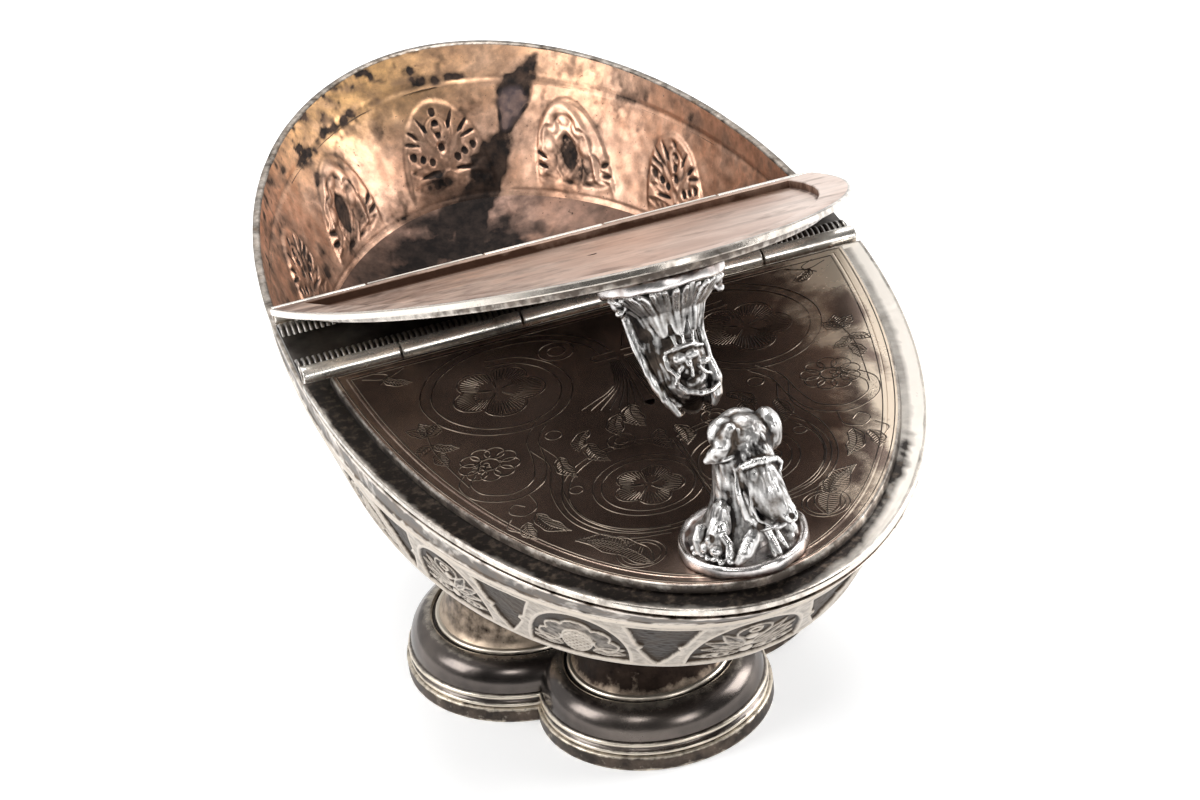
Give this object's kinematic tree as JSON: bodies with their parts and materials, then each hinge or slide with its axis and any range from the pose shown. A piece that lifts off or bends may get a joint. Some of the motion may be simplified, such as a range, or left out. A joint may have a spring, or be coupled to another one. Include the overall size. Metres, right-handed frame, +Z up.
{
  "type": "incense boat",
  "caption": "Oval silver incense boat on a lobed foot, with hinged half lids, a ribbed bridge and cast beast handles, for holding incense.",
  "frame": {"origin": "on the table, under the middle of the foot", "axes": "+Z up, +X along the hinge pins, -Y towards the closed front lid, +Y towards the open half"},
  "size_m": [0.081, 0.177, 0.0933],
  "materials": {
    "bright_silver": "worn polished silver with dark recesses",
    "dark_silver": "tarnished silver, polished bright on the edges",
    "engraved_silver": "engraved silver under brown tarnish",
    "gilt_silver": "chased silver, rose gilding inside"
  },
  "bodies": {
    "boat": {"base_strip": "dark_silver", "foot_shell": "dark_silver", "neck": "dark_silver", "bowl_shell": "gilt_silver", "rim_band": "bright_silver", "bridge_plate": "dark_silver", "front_bridge_reed": "dark_silver", "rear_bridge_reed": "dark_silver", "front_bridge_knuckles": "bright_silver", "rear_bridge_knuckles": "bright_silver", "front_hinge_pin": "bright_silver", "rear_hinge_pin": "bright_silver"},
    "front_lid": {"front_lid_plate": "engraved_silver", "front_lid_knuckles": "bright_silver", "front_handle_base": "bright_silver", "front_handle_beast": "bright_silver"},
    "rear_lid": {"rear_lid_plate": "engraved_silver", "rear_lid_knuckles": "bright_silver", "rear_handle_base": "bright_silver", "rear_handle_beast": "bright_silver"}
  },
  "joints": [
    {"name": "front_lid_hinge", "type": "hinge", "parent": "boat", "child": "front_lid", "pos_m": [0, -0.0092, 0.0599], "axis": [-1, 0, 0], "range_deg": [0, 8]},
    {"name": "rear_lid_hinge", "type": "hinge", "parent": "boat", "child": "rear_lid", "pos_m": [0, 0.0092, 0.0599], "axis": [1, 0, 0], "range_deg": [-156, 0]}
  ]
}
